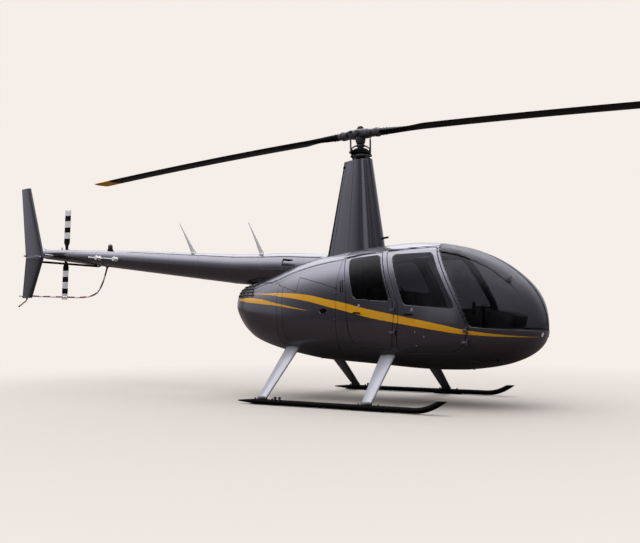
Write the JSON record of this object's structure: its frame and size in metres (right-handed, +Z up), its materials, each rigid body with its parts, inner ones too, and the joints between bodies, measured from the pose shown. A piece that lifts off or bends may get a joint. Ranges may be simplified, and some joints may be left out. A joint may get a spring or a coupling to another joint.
{
  "type": "four-seat light helicopter on skids",
  "caption": "Light helicopter with a two-blade main rotor, egg-shaped cabin with opening doors, slim tail boom, tail rotor and fins, standing on skids.",
  "frame": {"origin": "on the ground under the middle of the machine's box, halfway between the skids", "axes": "+X towards the nose, +Y to the left side, +Z up"},
  "size_m": [11.0586, 2.24, 3.285],
  "materials": {
    "charcoal_paint": "glossy",
    "black_paint": "satin",
    "white_paint": "satin",
    "red_paint": "satin",
    "dark_steel": "satin",
    "cast_alloy": "satin",
    "tinted_glass": "glossy",
    "dark_leather": "matte",
    "cabin_trim": "matte",
    "mesh_wire": "satin"
  },
  "bodies": {
    "airframe": {"cabin_shell": "charcoal_paint", "roof_panel": "charcoal_paint", "windshield_right": "tinted_glass", "windshield_left": "tinted_glass", "windshield_post": "black_paint", "upper_cowl": "charcoal_paint", "side_cowl_right": "charcoal_paint", "side_cowl_left": "charcoal_paint", "tail_cowl": "charcoal_paint", "rear_grille": "mesh_wire", "tail_boom": "charcoal_paint", "boom_fairing": "charcoal_paint", "mast_fairing": "charcoal_paint", "swashplate_lower": "cast_alloy", "tail_gearbox": "cast_alloy", "stabilizer": "charcoal_paint", "upper_fin": "charcoal_paint", "lower_fin": "charcoal_paint", "tail_guard": "red_paint", "tail_skid": "dark_steel", "brace_rod": "black_paint", "nav_antenna_right": "white_paint", "nav_antenna_left": "white_paint", "whip_antenna_front": "black_paint", "whip_antenna_rear": "black_paint", "beacon": "black_paint", "skid_right": "black_paint", "skid_left": "black_paint", "strut_aft_right": "charcoal_paint", "strut_aft_left": "charcoal_paint", "strut_fore_right": "charcoal_paint", "strut_fore_left": "charcoal_paint", "cabin_structure": "cabin_trim", "engine_block": "cast_alloy", "front_seat_right": "dark_leather", "front_seat_left": "dark_leather", "rear_seat_right": "dark_leather", "rear_seat_left": "dark_leather", "instrument_console": "cabin_trim", "cyclic_bar": "dark_steel"},
    "main_rotor": {"rotor_head": "dark_steel", "main_blade_aft": "black_paint", "main_blade_fore": "black_paint"},
    "tail_rotor": {"tail_rotor_hub": "dark_steel", "tail_blade_upper": "white_paint", "tail_blade_lower": "white_paint"},
    "door_front_right": {"front_door_right": "charcoal_paint", "front_window_right": "tinted_glass"},
    "door_front_left": {"front_door_left": "charcoal_paint", "front_window_left": "tinted_glass"},
    "door_rear_right": {"rear_door_right": "charcoal_paint", "rear_window_right": "tinted_glass"},
    "door_rear_left": {"rear_door_left": "charcoal_paint", "rear_window_left": "tinted_glass"}
  },
  "joints": [
    {"name": "main_rotor_spin", "type": "hinge", "parent": "airframe", "child": "main_rotor", "pos_m": [0.51, 0, 3.19], "axis": [0, 0, 1], "continuous": true},
    {"name": "tail_rotor_spin", "type": "hinge", "parent": "airframe", "child": "tail_rotor", "pos_m": [-5.383, 0.53, 2.07], "axis": [0, 1, 0], "continuous": true},
    {"name": "front_right_door_hinge", "type": "hinge", "parent": "airframe", "child": "door_front_right", "pos_m": [2.042, -0.624, 0.85], "axis": [0, 0, 1], "range_deg": [0, 75]},
    {"name": "front_left_door_hinge", "type": "hinge", "parent": "airframe", "child": "door_front_left", "pos_m": [2.042, 0.624, 0.85], "axis": [0, 0, -1], "range_deg": [0, 75]},
    {"name": "rear_right_door_hinge", "type": "hinge", "parent": "airframe", "child": "door_rear_right", "pos_m": [1.242, -0.652, 0.85], "axis": [0, 0, 1], "range_deg": [0, 75]},
    {"name": "rear_left_door_hinge", "type": "hinge", "parent": "airframe", "child": "door_rear_left", "pos_m": [1.242, 0.652, 0.85], "axis": [0, 0, -1], "range_deg": [0, 75]}
  ]
}
